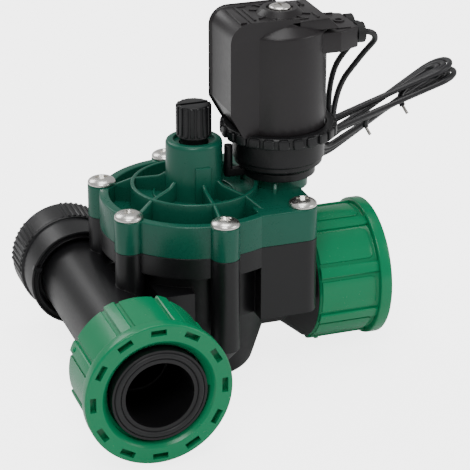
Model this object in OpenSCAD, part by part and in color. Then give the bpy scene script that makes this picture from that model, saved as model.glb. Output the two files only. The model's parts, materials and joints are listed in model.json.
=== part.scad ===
// Diaphragm solenoid valve with a tee inlet, two swivel union nuts and a wired coil.
// Lengths are millimetres. The design axis is the diaphragm's vertical axis, and the
// whole part is shifted so that the origin is the centre of the outlet's sealing face.

/* [Ports] */
// Distance from the diaphragm axis to the outlet's sealing face
outlet_reach = 58.4; // [54:0.2:74]
// Distance from the diaphragm axis to the inlet's sealing face
inlet_reach = 64.6; // [62:0.2:84]
// Distance from the diaphragm axis to the axis of the inlet tee
tee_offset = 31.8; // [30:0.2:38]
// Distance from the diaphragm axis to the closed face of the end cap
cap_reach = 42.8; // [42:0.2:54]
// Radius of the waterway at each open port
port_bore_r = 10.2; // [9.8:0.1:10.6]
// Radius of the waterway inside the body
waterway_r = 9.6; // [8.5:0.1:9.8]
// Outside radius of both tube ends
tube_r = 12.1; // [11.8:0.1:12.6]
// Minor radius of the G 1 pipe thread
thread_minor_r = 15.15; // [15:0.01:15.3]
// Major radius of the G 3/4 pipe thread on the capped port
cap_thread_r = 13.22; // [13.1:0.01:13.3]
// Length of the threaded bore in each union nut
thread_len = 13.5; // [11:0.5:15]

/* [Union nuts] */
// Length of a union nut
nut_len = 23.7; // [22.5:0.1:28]
// Outside radius of the nut's barrel
nut_barrel_r = 20.3; // [19.2:0.1:24]
// Radius of the flange at the nut's mouth
nut_flange_r = 22; // [21.4:0.1:26]
// Thickness of that flange
nut_flange_t = 3.9; // [3:0.1:5]
// Thickness of the shoulder at the nut's back
nut_shoulder_t = 3; // [2:0.1:4]
// Number of grip ribs on the barrel
nut_ribs = 8; // [6:1:12]
// Number of pockets in the flange's face
nut_pockets = 12; // [8:1:14]
// Thickness of the split ring that retains a nut
split_ring_t = 2.5; // [1.5:0.1:3]
// Gap in the split ring
split_gap = 2.4; // [1.5:0.1:4]

/* [End cap] */
// Radius of the cap's knurled rim
cap_rim_r = 17; // [16.4:0.1:19]
// Length of the knurled rim
cap_rim_len = 12.4; // [10:0.1:14]
// Radius of the cap's plain skirt
cap_skirt_r = 15.9; // [15:0.1:16.2]
// Length of the whole cap
cap_len = 23.4; // [21:0.1:23.6]
// Number of grip bands round the rim
cap_bands = 4; // [3:1:6]
// Number of ridges in one grip band
cap_band_ridges = 8; // [5:1:8]

/* [Body] */
// Height of the joint between body and bonnet above the port axis
parting_z = 23.2; // [22:0.5:30]
// Outside radius of the round rims of body and bonnet
rim_r = 29.3; // [29:0.1:34]
// Height of the band under the parting
rim_band = 6.5; // [5:0.1:8]
// Outside radius of the bowl down to the port axis
bowl_r = 24.6; // [23.6:0.1:25]
// Outside radius the bowl tapers to at its foot
bowl_foot_r = 17.3; // [16:0.1:21]
// Depth of the bowl below the port axis
bowl_depth = 24; // [21:0.5:29]
// Fillet radius round the foot of the bowl
bowl_fillet = 4; // [3.5:0.5:8]
// Wall thickness of the bowl
body_wall = 2.9; // [2.4:0.1:3.4]
// Height of the seat's lip above the port axis
seat_z = 17; // [15:0.5:18]
// Outside radius of the seat tube
seat_tube_r = 12; // [11.6:0.1:13]

/* [Bonnet] */
// Height of the bonnet's rim above the parting
bonnet_h = 10.3; // [9:0.1:13]
// Thickness of the bonnet's dished floor
floor_t = 2.5; // [2:0.1:3]
// Outside radius of the ring rib
ring_r = 19.6; // [18:0.1:21]
// Height of the ring rib above the rim
ring_rise = 3.05; // [2:0.05:4]
// Radius of the flow control tower
tower_r = 8.75; // [8.4:0.05:9]
// Height of the tower above the rim
tower_rise = 17.2; // [16.5:0.1:20]
// Thickness of the ring and of the spokes
rib_t = 1.2; // [1:0.1:1.8]

/* [Bonnet screws] */
// Radius of the four screw places round the tower
screw_circle_r = 29.3; // [29:0.1:34]
// Distance from the diaphragm axis to the two screws beside the solenoid, along the outlet
lobe_screw_x = 27.3; // [26:0.1:32]
// Half the distance between those two screws
lobe_screw_y = 22; // [21:0.1:26]
// Radius of a screw boss
boss_r = 4.45; // [4.2:0.05:5]
// Radius of a screw's shank
shank_r = 2; // [1.5:0.1:2.3]
// Length of a screw under its head
shank_len = 20; // [18:1:24]
// Radius of a screw's head
head_r = 4.4; // [4:0.05:4.6]
// Height of a screw's head
head_h = 2.1; // [1.6:0.1:2.6]

/* [Diaphragm] */
// Thickness of the rubber diaphragm
membrane_t = 1.6; // [1.2:0.1:2]
// Thickness of the seat washer under the diaphragm
seat_washer_t = 2; // [1.5:0.1:2.4]
// Thickness of the support disc above the diaphragm
support_t = 2; // [1.6:0.1:2.4]
// Lift of the diaphragm off its seat
diaphragm_lift = 3.5; // [2:0.1:3.5]

/* [Flow control] */
// Radius of the knob
knob_r = 5.47; // [5:0.01:5.6]
// Height of the knob
knob_h = 10.2; // [8:0.1:13]
// Number of flutes round the knob
knob_flutes = 16; // [12:1:20]
// Radius of the stem's thread
stem_r = 3.95; // [3.6:0.05:4]
// Travel of the stem
stem_travel = 3.5; // [2:0.1:3.5]

/* [Solenoid] */
// Distance from the diaphragm axis to the solenoid's axis
solenoid_x = 27.5; // [27.2:0.1:32]
// Radius of the green boss that carries the solenoid
socket_boss_r = 9.2; // [9:0.1:9.6]
// Height of that boss above the rim
socket_rise = 6; // [5.8:0.1:7]
// Radius of the base cup
base_r = 14.3; // [13.6:0.1:14.6]
// Height of the base cup
base_h = 10.1; // [9.6:0.1:12]
// Radius of the scalloped ring nut
ring_nut_r = 18.2; // [16.5:0.1:18.4]
// Height of the ring nut
ring_nut_h = 3.5; // [3.2:0.1:4.5]
// Number of notches round the ring nut
ring_nut_notches = 24; // [16:1:28]
// Outside radius of the round part of the coil housing
coil_r = 14.5; // [14.3:0.1:15.4]
// Height of the coil housing
coil_h = 35.1; // [34:0.1:42]
// Distance from the solenoid's axis to the flat back of the housing
coil_back = 18.4; // [18:0.1:20]
// Width of that flat back
coil_width = 20.8; // [20:0.1:26]
// Distance from the solenoid's axis to the end of the wire box
wire_box_reach = 23; // [22:0.1:28]
// Outside radius of the armature tube
armature_r = 5; // [4.8:0.05:5.2]
// Travel of the plunger
plunger_travel = 1.8; // [1:0.1:1.9]

/* [Leads] */
// Diameter of each lead
lead_d = 1.9; // [1.6:0.1:2.2]
// Outside length of the hank
hank_len = 57; // [54:1:60]
// Outside width of the hank
hank_width = 20; // [19:0.5:22]
// Thickness of the hank
hank_t = 7.5; // [7:0.1:8]

/* [Clearances] */
// Radial clearance of a part that turns or slides
running_gap = 0.05; // [0.02:0.01:0.1]
// Clearance round parts that are dropped into a pocket
drop_gap = 0.05; // [0.03:0.01:0.15]
// Free space between surfaces that pass each other
pass_gap = 0.3; // [0.2:0.05:0.5]

/* [Hidden] */
$fn = 64;
eps = 0.01;
round_steps = 8;

// Heights of the bonnet
rim_z = parting_z + bonnet_h;
ring_z = rim_z + ring_rise;
tower_z = rim_z + tower_rise;
inner_floor_z = rim_z - 0.8;
dish_floor_z = parting_z + membrane_t + 0.9 + floor_t;
dish_r = rim_r - 3;
spoke_angles = [90, 150, 210, 270];
lobe_angle = 54;
spoke_end = screw_circle_r - head_r - 0.3;
round_screws = [for (a = spoke_angles) [screw_circle_r * cos(a), screw_circle_r * sin(a)]];
lobe_screws = [for (s = [-1, 1]) [lobe_screw_x, s * lobe_screw_y]];
screw_places = concat(round_screws, lobe_screws);
lobe_front_x = 12.4;

// Body
block_depth = 24;
saddle_half_w = 15;
saddle_depth = 30.7;
column_depth = 30;
tee_column_depth = 17;
neck_r_out = tube_r - 0.6;
window_r = 8.6;
pad_left_x = -19.6;
pad_w = 10.8;
pad_front_y = -27.2;
pad_top_z = 11.7;
pad_h = 25.7;
seal_mean_r = 12.4;
seal_section_r = 0.95;
collar_r = thread_minor_r - 0.97;
collar_t = 4;
bead_r = tube_r + 1.4;
flare_r = nut_barrel_r - 0.3;
flare_len = 7.2;
nut_setback = 0.2;
nut_back = nut_len + nut_setback;
port_bore_len = 24;
pipe_r = waterway_r + 4.6;
stub_r = cap_thread_r - running_gap;
stub_len = 15;
cap_end_t = 3;
gasket_t = 2;
stub_end = cap_reach - cap_end_t - gasket_t;
cap_ridge_w = 1;
cap_ridge_inset = 0.5;
cap_ridge_pitch = 6;
membrane_r = rim_r - 2.3;
clamp_r = rim_r - 4.8;

// Diaphragm stack
seal_bottom_z = seat_z + 0.02;
membrane_z = seal_bottom_z + seat_washer_t;
support_z = membrane_z + membrane_t;
support_r = ring_r - 3.1;
bolt_r = 2.45;
bolt_top_z = support_z + support_t + 2.6;
seat_head_t = 1.8;
seat_head_r = 5;
control_r = ring_r - 2.3;
tower_bore_r = 6.4;
spring_top_z = rim_z + 2.7;

// Flow control
knob_gap = 1;
knob_z = tower_z + knob_gap;
neck_r = 4.45;
neck_z = tower_z - 6.2;
circlip_z = tower_z - 3.2;
circlip_t = 1;
circlip_depth = 0.7;
hex_r = 2.25;
notch_r = 1.3;
notch_out = 0.7;
stem_tip_r = 3;
stem_tip_z = bolt_top_z + diaphragm_lift + stem_travel + 1.2;
stem_thread_z = spring_top_z + stem_travel + 0.2;
stem_thread_len = 4;
stem_top_z = knob_z + knob_h - 7.5;
o_ring_t = 1.3;

// Solenoid
base_z = rim_z + socket_rise;
ring_nut_z = base_z + base_h;
neck_nut_r = 12;
flange_r = 9;
flange_t = 1.5;
flange_z = ring_nut_z + 0.5;
web_z = flange_z + flange_t;
coil_z = ring_nut_z + ring_nut_h - 0.4;
coil_top_z = coil_z + coil_h;
socket_r = 7;
socket_depth = 5;
hub_len = 4.4;
nozzle_z = base_z + 3.7;
nozzle_h = 1.2;
nozzle_r = 1.8;
orifice_r = 0.9;
seal_z = nozzle_z + nozzle_h + 0.02;
tube_wall = 0.45;
tube_inner_r = armature_r - tube_wall;
plunger_r = tube_inner_r - running_gap;
plunger_seal_r = 2.4;
plunger_seal_t = 1.75;
plunger_z = seal_z + 1.45;
plunger_len = 21.3;
core_z = plunger_z + plunger_len + plunger_travel + 0.2;
yoke_t = 1.6;
yoke_half_w = 8;
yoke_z = coil_z + 0.5;
yoke_top_z = coil_top_z - 3.6;
bobbin_z = yoke_z + yoke_t + 0.1;
bobbin_top_z = yoke_top_z - yoke_t - 0.1;
bobbin_flange_r = 12.4;
bobbin_flange_t = 1.4;
bobbin_hub_r = armature_r + 1.2;
winding_r = 11.8;
core_top_z = yoke_top_z - yoke_t;
foot_gap = 0.5;
slant_h = 7.5;
slant_in = 3.9;
box_h = 6.6;
box_top_z = coil_top_z - 4.7;
box_end_half_w = 7.2;
box_chamfer = 7;
back_round = 5;
dish_boss_r = 7.2;
dish_top_r = 5.4;
dish_boss_h = 1.7;
top_head_r = 3.3;
top_head_h = 2;
top_washer_r = 4.3;
top_washer_t = 0.6;
top_shank_r = 2;
top_screw_z = coil_top_z + top_washer_t;
grommet_y = 4.4;
grommet_z = box_top_z - 2.9;
grommet_r = 3.2;
grommet_out = 2.5;
grommet_in = 3;
grommet_neck_r = 2.2;
grommet_face_x = solenoid_x + wire_box_reach + grommet_out;

// Bleed lever
lever_gap = 0.1;
lever_ring_r = socket_boss_r + 2.4;
lever_t = 2.3;
lever_z = base_z - lever_t - pass_gap;
lever_post_r = 1.35;
lever_post_reach = 16.4;
lever_post_h = 10.1;

// Leads: hand-chosen points from each grommet down to the hank, then the hank's own place
lead_sides = 8;
front_route = [
    [53, -4.4, 80], [53.9, -4.4, 80], [55.3, -4.4, 79.7], [56.9, -4, 78.7], [57.7, -3, 76.7],
    [57, -1.4, 74.4], [55.4, 0.6, 71.2], [53.4, 2.8, 67], [51.4, 5, 62.6],
    [50, 6.4, 58], [49.1, 7.2, 53], [48.85, 7.8, 49], [48.75, 8.2, 45.6],
];
rear_route = [
    [53, 4.4, 80], [53.9, 4.4, 80], [55.1, 4.5, 79.7], [56.4, 5.1, 78.2], [56.2, 6.2, 75.7],
    [54.6, 7.4, 72.6], [52.6, 9, 69.2], [50.6, 10.4, 65], [49.4, 11.2, 60],
    [48.8, 11.4, 55], [48.6, 11.2, 50.6], [48.45, 10.8, 47.2],
];
hank_center = [69.2, 17, 47.2];
hank_pitch = 24;
hank_roll = 31;
tip_r = 0.5;
tip_len = 3;
tip_places = [[-8, 0], [6, 0]];

// ---- shared shapes ----

// Points of an arc, for the profiles that are spun round an axis
function arc(center, r, from, to, steps = round_steps) =
    [for (i = [0 : steps]) let (a = from + (to - from) * i / steps)
        center + r * [cos(a), sin(a)]];

// A ring of round section, centred on the origin
module torus(mean_r, section_r) {
    rotate_extrude() translate([mean_r, 0]) circle(r = section_r, $fn = 32);
}

// A straight tube that starts at z = 0
module pipe(outer_r, inner_r, h) {
    difference() {
        cylinder(r = outer_r, h = h);
        translate([0, 0, -eps]) cylinder(r = inner_r, h = h + 2 * eps);
    }
}

// A closed tube of polygon section swept along a list of points
module sweep(points, r, sides) {
    n = len(points);
    function dir(i) = let (d = points[min(i + 1, n - 1)] - points[max(i - 1, 0)]) d / norm(d);
    function side(i) = let (c = cross(dir(i), [0.17, 0.94, 0.3])) c / norm(c);
    rings = [for (i = [0 : n - 1]) for (k = [0 : sides - 1])
        let (a = 360 * k / sides, u = side(i), v = cross(dir(i), u))
        points[i] + r * (cos(a) * u + sin(a) * v)];
    walls = [for (i = [0 : n - 2]) for (k = [0 : sides - 1])
        let (a = i * sides + k, b = i * sides + (k + 1) % sides)
        [a, b, b + sides, a + sides]];
    first = [[for (k = [sides - 1 : -1 : 0]) k]];
    last = [[for (k = [0 : sides - 1]) (n - 1) * sides + k]];
    polyhedron(points = rings, faces = concat(walls, first, last));
}

// A compression spring standing on z = 0
module coil_spring(mean_r, wire_r, h, turns) {
    steps = 12;
    path = [for (i = [0 : turns * steps])
        [mean_r * cos(i * 360 / steps), mean_r * sin(i * 360 / steps),
         wire_r + (h - 2 * wire_r) * i / (turns * steps)]];
    sweep(path, wire_r, 6);
}

// A shape made along +Z from a port's sealing face inwards, placed at the outlet
module at_outlet() translate([outlet_reach, 0, 0]) rotate([0, -90, 0]) children();

// The same at the inlet
module at_inlet() translate([-tee_offset, -inlet_reach, 0]) rotate([-90, 0, 0]) children();

// A shape made along +Z from the tee's end stub outwards
module at_cap(y) translate([-tee_offset, y, 0]) rotate([-90, 0, 0]) children();

module at_solenoid(z) translate([solenoid_x, 0, z]) children();

module at_screws(z) for (p = screw_places) translate([p[0], p[1], z]) children();

// A pan head with a cross recess, its underside at z = 0
module pan_head(r, h) {
    crown = h * 0.45;
    difference() {
        rotate_extrude()
            polygon(concat([[0, 0], [r - 0.3, 0], [r, 0.3], [r, h - crown]],
                [for (i = [1 : 6]) [r * cos(15 * i), h - crown + crown * sin(15 * i)]]));
        for (a = [0, 90]) rotate(a) translate([-r * 0.5, -r * 0.09, h * 0.55])
            cube([r, r * 0.18, h]);
    }
}

// The lobe under the solenoid, shared by body and bonnet
module lobe(h) {
    half_w = lobe_screw_y + boss_r;
    translate([lobe_front_x, -half_w, 0])
        cube([lobe_screw_x - lobe_front_x, 2 * half_w, h]);
    translate([lobe_screw_x - eps, -lobe_screw_y, 0]) cube([boss_r + eps, 2 * lobe_screw_y, h]);
    for (p = lobe_screws) translate([p[0], p[1], 0]) cylinder(r = boss_r, h = h);
}

// ---- body ----

// Outside or inside profile of the bowl, spun round the diaphragm's axis
module bowl(inset, top) {
    bottom = inset - bowl_depth;
    fillet = bowl_fillet - inset;
    slope = (bowl_r - bowl_foot_r) / bowl_depth;
    lean = atan(slope);
    center_z = bottom + fillet;
    center_r = bowl_r - inset + slope * center_z - fillet / cos(lean);
    rotate_extrude()
        polygon(concat([[0, top], [0, bottom]],
            arc([center_r, center_z], fillet, -90, -lean),
            [[bowl_r - inset, 0], [bowl_r - inset, top]]));
}

// The part of a tube end that is the same at both ports
module tube_end() {
    cylinder(r = collar_r, h = collar_t);
    cylinder(r = tube_r, h = nut_back + 6);
    translate([0, 0, nut_back - nut_shoulder_t]) cylinder(r = bead_r, h = nut_shoulder_t - 0.5);
}

module face_groove() {
    translate([0, 0, -eps]) pipe(seal_mean_r + seal_section_r + running_gap,
        seal_mean_r - seal_section_r - running_gap, seal_section_r * 1.5 + eps);
}

module valve_body() color("#1d1d20") difference() {
    union() {
        difference() {
            body_block();
            at_outlet() nut_room();
            at_inlet() nut_room();
        }
        translate([-tee_offset, 0, 0]) rotate([0, 90, 0])
            cylinder(r = neck_r_out, h = tee_offset - seat_tube_r);
        at_outlet() tube_end();
        at_outlet() translate([0, 0, nut_back + 0.3])
            cylinder(r1 = flare_r, r2 = pipe_r, h = flare_len);
        at_outlet() translate([0, 0, nut_back + 6]) cylinder(r = pipe_r, h = 18);
        at_inlet() tube_end();
        at_inlet() cylinder(r = tube_r, h = inlet_reach + stub_end);
        at_cap(stub_end - stub_len) cylinder(r = stub_r, h = stub_len);
    }
    difference() {
        chamber();
        seat_and_elbow();
    }
    waterways();
    at_screws(parting_z - shank_len) cylinder(r = shank_r + drop_gap, h = shank_len + eps);
    at_solenoid(waterway_r - 2) cylinder(r = orifice_r, h = parting_z);
    at_outlet() face_groove();
    at_inlet() face_groove();
}

// The block round the diaphragm, before the tube ends are added
module body_block() {
    bowl(0, parting_z - rim_band + eps);
    translate([0, 0, parting_z - rim_band]) cylinder(r = rim_r, h = rim_band);
    translate([0, 0, parting_z - block_depth]) lobe(block_depth);
    translate([lobe_front_x, -saddle_half_w, parting_z - saddle_depth])
        cube([solenoid_x - 3 - lobe_front_x, 2 * saddle_half_w, saddle_depth]);
    for (p = round_screws) screw_column(p);
    translate([pad_left_x, pad_front_y, pad_top_z - pad_h]) cube([pad_w, -pad_front_y - 8, pad_h]);
}

// The room a seated nut takes up, so that a longer or wider nut still clears the block
module nut_room() cylinder(r = nut_barrel_r + pass_gap, h = nut_back + pass_gap);

// A screw's boss runs down the outside of the bowl and fades out in a cone
module screw_column(p) {
    depth = p[0] < -boss_r ? tee_column_depth : column_depth;
    translate([p[0], p[1], parting_z - depth]) cylinder(r = boss_r, h = depth);
    translate([p[0], p[1], parting_z - depth - boss_r])
        cylinder(r1 = 0.6, r2 = boss_r, h = boss_r + eps);
}

module chamber() {
    bowl(body_wall, parting_z + eps);
    translate([0, 0, parting_z - rim_band + body_wall - 0.4])
        cylinder(r = clamp_r, h = rim_band);
}

// The seat tube stands in the chamber and turns into the outlet pipe
module seat_and_elbow() {
    translate([0, 0, -tube_r]) cylinder(r = seat_tube_r, h = seat_z + tube_r);
    rotate([0, 90, 0]) cylinder(r = tube_r, h = bowl_r);
}

module waterways() {
    seat_lip_z = seat_z + eps;
    translate([0, 0, -waterway_r]) cylinder(r = waterway_r, h = seat_lip_z + waterway_r);
    rotate([0, 90, 0]) cylinder(r = waterway_r, h = outlet_reach);
    at_outlet() translate([0, 0, -eps]) cylinder(r = port_bore_r, h = port_bore_len + eps);
    at_inlet() cylinder(r = waterway_r, h = inlet_reach + stub_end + eps);
    at_inlet() translate([0, 0, -eps]) cylinder(r = port_bore_r, h = port_bore_len + eps);
    translate([-tee_offset, 0, 0]) rotate([0, 90, 0])
        cylinder(r = window_r, h = tee_offset - seat_tube_r - 1);
}

// ---- bonnet ----

// A spoke's web from the tower to the rim, with a top edge that falls outwards
module spoke(a) {
    rotate(a) translate([0, rib_t / 2, 0]) rotate([90, 0, 0]) linear_extrude(rib_t)
        polygon([[tower_r - 1, dish_floor_z - 1], [tower_r - 1, ring_z + 2.4],
            [ring_r, ring_z - 0.4], [spoke_end, rim_z + 0.9], [spoke_end, rim_z],
            [rim_r - 1.5, rim_z - eps], [rim_r - 1.5, dish_floor_z - 1]]);
}

// The dish between ring and rim is open all round but for the lobe
module dish() {
    difference() {
        translate([0, 0, dish_floor_z]) pipe(dish_r, ring_r, bonnet_h + ring_rise);
        linear_extrude(2 * tower_z)
            polygon([[0, 0], rim_r * 2 * [cos(lobe_angle), -sin(lobe_angle)],
                rim_r * 2 * [cos(lobe_angle), sin(lobe_angle)]]);
    }
}

module bonnet() color("#1f5c46") difference() {
    union() {
        difference() {
            union() {
                translate([0, 0, parting_z]) cylinder(r = rim_r, h = bonnet_h);
                translate([0, 0, rim_z - eps]) cylinder(r = ring_r, h = ring_rise + eps);
            }
            dish();
            translate([0, 0, inner_floor_z])
                cylinder(r = ring_r - rib_t, h = bonnet_h);
        }
        translate([0, 0, parting_z]) lobe(bonnet_h);
        for (p = round_screws) translate([p[0], p[1], parting_z])
            cylinder(r = boss_r, h = bonnet_h);
        translate([0, 0, inner_floor_z - eps])
            cylinder(r = tower_r, h = tower_z - inner_floor_z - 0.6 + eps);
        translate([0, 0, tower_z - 0.6])
            cylinder(r1 = tower_r, r2 = tower_r - 0.6, h = 0.6);
        translate([-2.5, -tower_r - 0.5, inner_floor_z - eps]) cube([5, 3, 11.5]);
        for (a = concat(spoke_angles, [-lobe_angle, lobe_angle])) spoke(a);
        at_solenoid(rim_z - eps) cylinder(r = socket_boss_r, h = socket_rise + eps);
    }
    translate([0, 0, parting_z - eps])
        cylinder(r = membrane_r + drop_gap, h = membrane_t + eps);
    translate([0, 0, parting_z])
        cylinder(r = clamp_r, h = dish_floor_z - floor_t - parting_z);
    translate([0, 0, parting_z])
        cylinder(r = control_r, h = inner_floor_z - floor_t - parting_z);
    translate([0, 0, parting_z]) cylinder(r = tower_bore_r, h = spring_top_z - parting_z);
    translate([0, 0, parting_z]) cylinder(r = stem_r + running_gap, h = neck_z - parting_z + eps);
    translate([0, 0, neck_z]) cylinder(r = neck_r + running_gap, h = tower_z);
    translate([0, 0, circlip_z - running_gap])
        cylinder(r = neck_r + circlip_depth + running_gap, h = circlip_t + 2 * running_gap);
    at_screws(parting_z - eps) cylinder(r = shank_r + drop_gap, h = 2 * bonnet_h);
    at_solenoid(base_z - socket_depth) cylinder(r = socket_r, h = socket_depth + eps);
    at_solenoid(parting_z - eps) cylinder(r = orifice_r, h = bonnet_h);
    pilot_supply();
}

// Water from above the diaphragm reaches the solenoid's socket through two drilled holes
module pilot_supply() {
    supply_z = parting_z + membrane_t + 2.4;
    supply_x = solenoid_x - 5;
    translate([control_r - 1, 0, supply_z]) rotate([0, 90, 0])
        cylinder(r = orifice_r, h = supply_x - control_r + 1);
    translate([supply_x, 0, supply_z]) cylinder(r = orifice_r, h = base_z - socket_depth - supply_z + eps);
}

module bonnet_screws() color("#c9c9c4") at_screws(rim_z) {
    pan_head(head_r, head_h);
    translate([0, 0, -shank_len + 1]) cylinder(r = shank_r, h = shank_len - 1 + eps);
}

// ---- diaphragm ----

module diaphragm() color("#2b2b2b") difference() {
    union() {
        rotate_extrude() polygon([
            [bolt_r + drop_gap, membrane_z], [support_r + 1, membrane_z],
            [clamp_r - 3.5, parting_z], [membrane_r, parting_z],
            [membrane_r, parting_z + membrane_t], [clamp_r - 4.2, parting_z + membrane_t],
            [support_r + 0.3, support_z], [bolt_r + drop_gap, support_z]]);
    }
    at_screws(parting_z - 1) cylinder(r = shank_r + 2 * drop_gap, h = bonnet_h);
}

module diaphragm_support() color("#d8d4c8") translate([0, 0, support_z]) difference() {
    union() {
        cylinder(r = support_r, h = support_t);
        cylinder(r = 4, h = support_t + 1.2);
    }
    translate([0, 0, -eps]) cylinder(r = bolt_r + drop_gap, h = support_t + 2);
}

module seat_seal() color("#30302e") translate([0, 0, seal_bottom_z])
    pipe(seat_tube_r - 0.2, bolt_r + drop_gap, seat_washer_t);

module diaphragm_bolt() color("#b8b8b4") {
    translate([0, 0, seal_bottom_z - seat_head_t]) cylinder(r = seat_head_r, h = seat_head_t);
    translate([0, 0, seal_bottom_z - eps]) cylinder(r = bolt_r, h = bolt_top_z - seal_bottom_z);
}

module diaphragm_spring() color("#b0b0ac") translate([0, 0, support_z + support_t])
    coil_spring(tower_bore_r - 0.9, 0.45, spring_top_z - support_z - support_t, 6);

// ---- flow control ----

module flow_stem() color("#2a2a2c") difference() {
    union() {
        translate([0, 0, stem_tip_z]) cylinder(r = stem_tip_r, h = stem_thread_z - stem_tip_z + eps);
        translate([0, 0, stem_thread_z]) cylinder(r = stem_r, h = stem_thread_len);
        translate([0, 0, stem_thread_z + stem_thread_len - eps])
            cylinder(r = hex_r, h = stem_top_z - stem_thread_z - stem_thread_len, $fn = 6);
    }
    translate([0, 0, stem_thread_z + 1.2])
        pipe(stem_r + 1, stem_r - o_ring_t + eps, o_ring_t + 0.1);
}

module stem_o_ring() color("#111111")
    translate([0, 0, stem_thread_z + 1.25 + o_ring_t / 2])
        torus(stem_r - o_ring_t / 2 + 0.02, o_ring_t / 2);

module flow_knob() color("#17171a") difference() {
    union() {
        translate([0, 0, knob_z]) cylinder(r = knob_r - 0.25, h = knob_h);
        for (i = [0 : knob_flutes - 1]) rotate(i * 360 / knob_flutes)
            translate([knob_r - 0.65, -0.55, knob_z]) cube([0.62, 1.1, knob_h - 0.5]);
        translate([0, 0, neck_z + 0.1]) cylinder(r = neck_r, h = knob_z - neck_z);
    }
    translate([-knob_r, -0.55, knob_z + knob_h - 1]) cube([2 * knob_r, 1.1, 2]);
    translate([0, 0, neck_z]) cylinder(r = hex_r + running_gap, h = knob_z + knob_h - 2.5 - neck_z, $fn = 6);
    translate([0, 0, circlip_z - running_gap])
        pipe(neck_r + 1, neck_r - circlip_depth + running_gap, circlip_t + 2 * running_gap);
}

module knob_circlip() color("#9a9a98") translate([0, 0, circlip_z])
    difference() {
        pipe(neck_r + circlip_depth, neck_r - circlip_depth + 2 * running_gap, circlip_t);
        translate([0, -0.8, -1]) cube([10, 1.6, 3]);
    }

// ---- solenoid base ----

module solenoid_base() color("#1f1f21") at_solenoid(base_z) difference() {
    union() {
        rotate_extrude() polygon([[0, 0], [base_r - 2.2, 0], [base_r - 0.6, 1.2],
            [base_r - 0.6, 2.6], [base_r, 3], [base_r, base_h],
            [neck_nut_r, base_h], [neck_nut_r, base_h + 2], [0, base_h + 2]]);
        translate([0, 0, -hub_len]) cylinder(r = socket_r - running_gap, h = hub_len + eps);
    }
    difference() {
        translate([0, 0, nozzle_z - base_z]) cylinder(r = armature_r + drop_gap, h = 20);
        translate([0, 0, nozzle_z - base_z - eps]) cylinder(r = nozzle_r, h = nozzle_h + eps);
    }
    translate([0, 0, flange_z - base_z]) cylinder(r = flange_r + drop_gap, h = 10);
    translate([0, 0, -hub_len - eps]) cylinder(r = orifice_r, h = 20);
    translate([3.4, 0, -hub_len - eps]) cylinder(r = orifice_r, h = nozzle_z - base_z + hub_len + 2 * eps);
    translate([0, 0, -hub_len + 1.4]) pipe(socket_r + 1, socket_r - o_ring_t, o_ring_t + 0.1);
}

module base_o_ring() color("#111111") at_solenoid(base_z - hub_len + 1.45 + o_ring_t / 2)
    torus(socket_r - o_ring_t / 2 - 0.02, o_ring_t / 2 - 0.02);

// The lever's ring turns round the green boss, and its post stands beside the tower
module bleed_lever() color("#151517") at_solenoid(lever_z) difference() {
    union() {
        cylinder(r = lever_ring_r, h = lever_t);
        translate([-lever_post_reach, -lever_post_r, 0])
            cube([lever_post_reach, 2 * lever_post_r, lever_t]);
        translate([-lever_post_reach, 0, 0]) cylinder(r = lever_post_r, h = lever_post_h);
    }
    translate([0, 0, -eps]) cylinder(r = socket_boss_r + lever_gap, h = lever_t + 2 * eps);
}

module solenoid_ring_nut() color("#1b1b1d") at_solenoid(ring_nut_z) difference() {
    cylinder(r = ring_nut_r, h = ring_nut_h);
    for (i = [0 : ring_nut_notches - 1]) rotate(i * 360 / ring_nut_notches)
        translate([ring_nut_r + notch_out, 0, -eps]) cylinder(r = notch_r, h = ring_nut_h + 1);
    translate([0, 0, -eps]) cylinder(r = neck_nut_r + running_gap, h = web_z - ring_nut_z + eps);
    cylinder(r = armature_r + 0.3, h = ring_nut_h + eps);
    translate([0, 0, coil_z - ring_nut_z])
        cylinder(r = coil_r + 0.4, h = ring_nut_h);
}

// ---- coil ----

// Outside of the housing: a round coil, a flat back with a slanted foot, and a wire box
module housing_shape() {
    half_w = coil_width / 2;
    cylinder(r = coil_r, h = box_top_z - coil_z);
    rotate([90, 0, 0]) translate([0, 0, -half_w]) linear_extrude(coil_width)
        polygon(concat([[0, foot_gap], [-coil_back + slant_in, foot_gap], [-coil_back, slant_h]],
            arc([-coil_back + back_round, coil_h - back_round], back_round, 180, 90),
            [[12, coil_h], [15.5, box_top_z - coil_z], [0, box_top_z - coil_z]]));
    translate([0, 0, box_top_z - box_h - coil_z]) linear_extrude(box_h)
        polygon([[0, -half_w], [wire_box_reach - box_chamfer, -half_w],
            [wire_box_reach, -box_end_half_w], [wire_box_reach, box_end_half_w],
            [wire_box_reach - box_chamfer, half_w], [0, half_w]]);
    translate([0, 0, coil_h - eps])
        cylinder(r1 = dish_boss_r, r2 = dish_top_r, h = dish_boss_h + eps);
}

module coil_housing() color("#3a3638") at_solenoid(coil_z) difference() {
    housing_shape();
    translate([0, 0, -eps]) cylinder(r = coil_r - 1.4, h = yoke_top_z - coil_z - yoke_t + eps);
    translate([0, 0, -coil_z]) yoke_space(drop_gap);
    translate([0, 0, coil_h]) cylinder(r = top_washer_r + 0.3, h = 10);
    cylinder(r = top_shank_r + 0.2, h = coil_h + 1);
    for (s = [-1, 1]) translate([wire_box_reach - grommet_in, s * grommet_y, grommet_z - coil_z])
        rotate([0, 90, 0]) cylinder(r = grommet_neck_r, h = 10);
    for (s = [-1, 1]) translate([12, s * grommet_y, grommet_z - coil_z])
        rotate([0, 90, 0]) cylinder(r = lead_d / 2, h = 12);
}

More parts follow.
